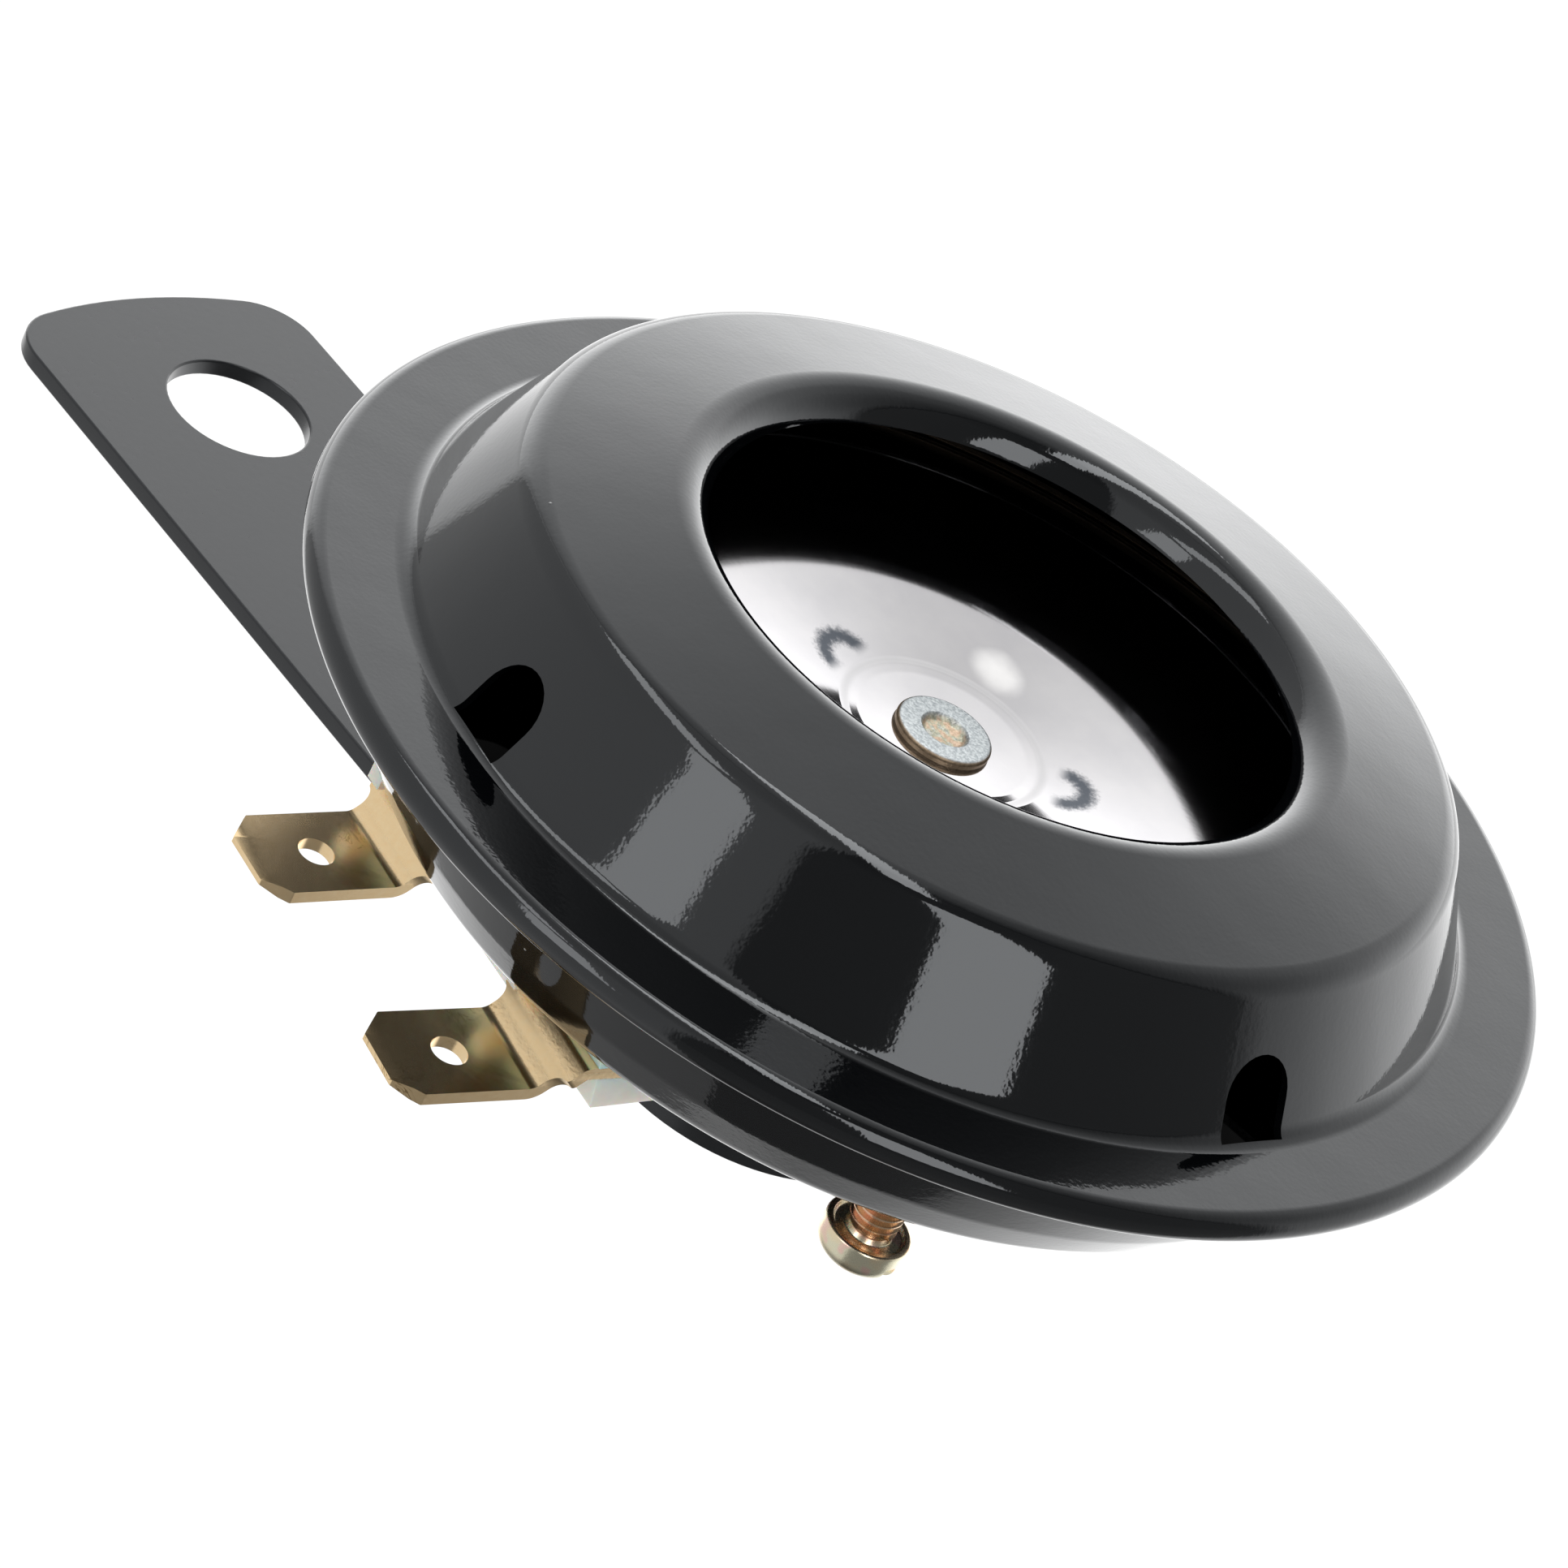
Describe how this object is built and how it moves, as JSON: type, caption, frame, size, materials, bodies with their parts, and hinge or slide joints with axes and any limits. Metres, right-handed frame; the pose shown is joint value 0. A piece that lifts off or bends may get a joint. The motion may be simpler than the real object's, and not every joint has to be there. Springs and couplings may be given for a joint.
{
  "type": "car horn",
  "caption": "Electric disc horn in a pressed metal case: sprung diaphragm behind a round mouth, two push-on terminals, adjusting screw and a flat bracket.",
  "frame": {"origin": "centre of the bracket's screw hole on the bracket's front face", "axes": "+Z forward, along the horn's axis towards its mouth; +X from the screw hole towards the horn"},
  "size_m": [0.1109, 0.078, 0.0408],
  "materials": {
    "painted_case": "gloss black paint over pressed steel",
    "painted_bracket": "satin black paint",
    "gasket_paper": "brown gasket paper",
    "spring_steel": "fine brushed, bright",
    "rivet_steel": "turned steel, lightly browned",
    "soft_iron": "turned, oiled",
    "zinc_steel": "bright zinc plating",
    "spring_steel_dark": "dark phosphated steel",
    "bobbin_plastic": "natural nylon",
    "copper_wire": "enamelled copper",
    "block_nylon": "translucent natural nylon",
    "terminal_brass": "stamped brass, slightly stained",
    "rivet_brass": "brass",
    "insulating_board": "brown phenolic paper",
    "contact_steel": "spring steel",
    "contact_metal": "tungsten",
    "yellow_zinc": "yellow chromated zinc"
  },
  "bodies": {
    "housing": {"front_cover": "painted_case", "rear_case": "painted_case", "gasket_front": "gasket_paper", "gasket_rear": "gasket_paper", "diaphragm": "spring_steel", "pole_core": "zinc_steel", "coil_bobbin": "bobbin_plastic", "coil_winding": "copper_wire", "core_nut": "zinc_steel", "bracket_nut": "zinc_steel", "spring_washer": "spring_steel_dark", "mounting_bracket": "painted_bracket", "terminal_block": "block_nylon", "terminal_left": "terminal_brass", "terminal_right": "terminal_brass", "terminal_rivet_left": "rivet_brass", "terminal_rivet_right": "rivet_brass", "solder_tag_left": "terminal_brass", "solder_tag_right": "terminal_brass", "terminal_insulator": "insulating_board", "contact_insulator_lower": "insulating_board", "contact_insulator_middle": "insulating_board", "contact_insulator_upper": "insulating_board", "fixed_contact_arm": "contact_steel", "moving_contact_arm": "contact_steel", "fixed_contact": "contact_metal", "moving_contact": "contact_metal", "contact_rivet_1": "rivet_brass", "contact_rivet_2": "rivet_brass"},
    "armature_set": {"armature": "soft_iron", "armature_washer": "soft_iron", "centre_rivet": "rivet_steel"},
    "adjuster": {"adjusting_screw": "yellow_zinc"}
  },
  "joints": [
    {"name": "armature_stroke", "type": "slide", "parent": "housing", "child": "armature_set", "axis": [0, 0, 1], "range_m": [-0.0004, 0.0002], "stiffness_N_per_m": 3000, "deforming": ["diaphragm"]},
    {"name": "adjusting_screw_turn", "type": "hinge", "parent": "housing", "child": "adjuster", "pos_m": [0.0807, -0.01287, 0.0114], "axis": [0, 0, 1], "range_deg": [-90, 90]}
  ]
}
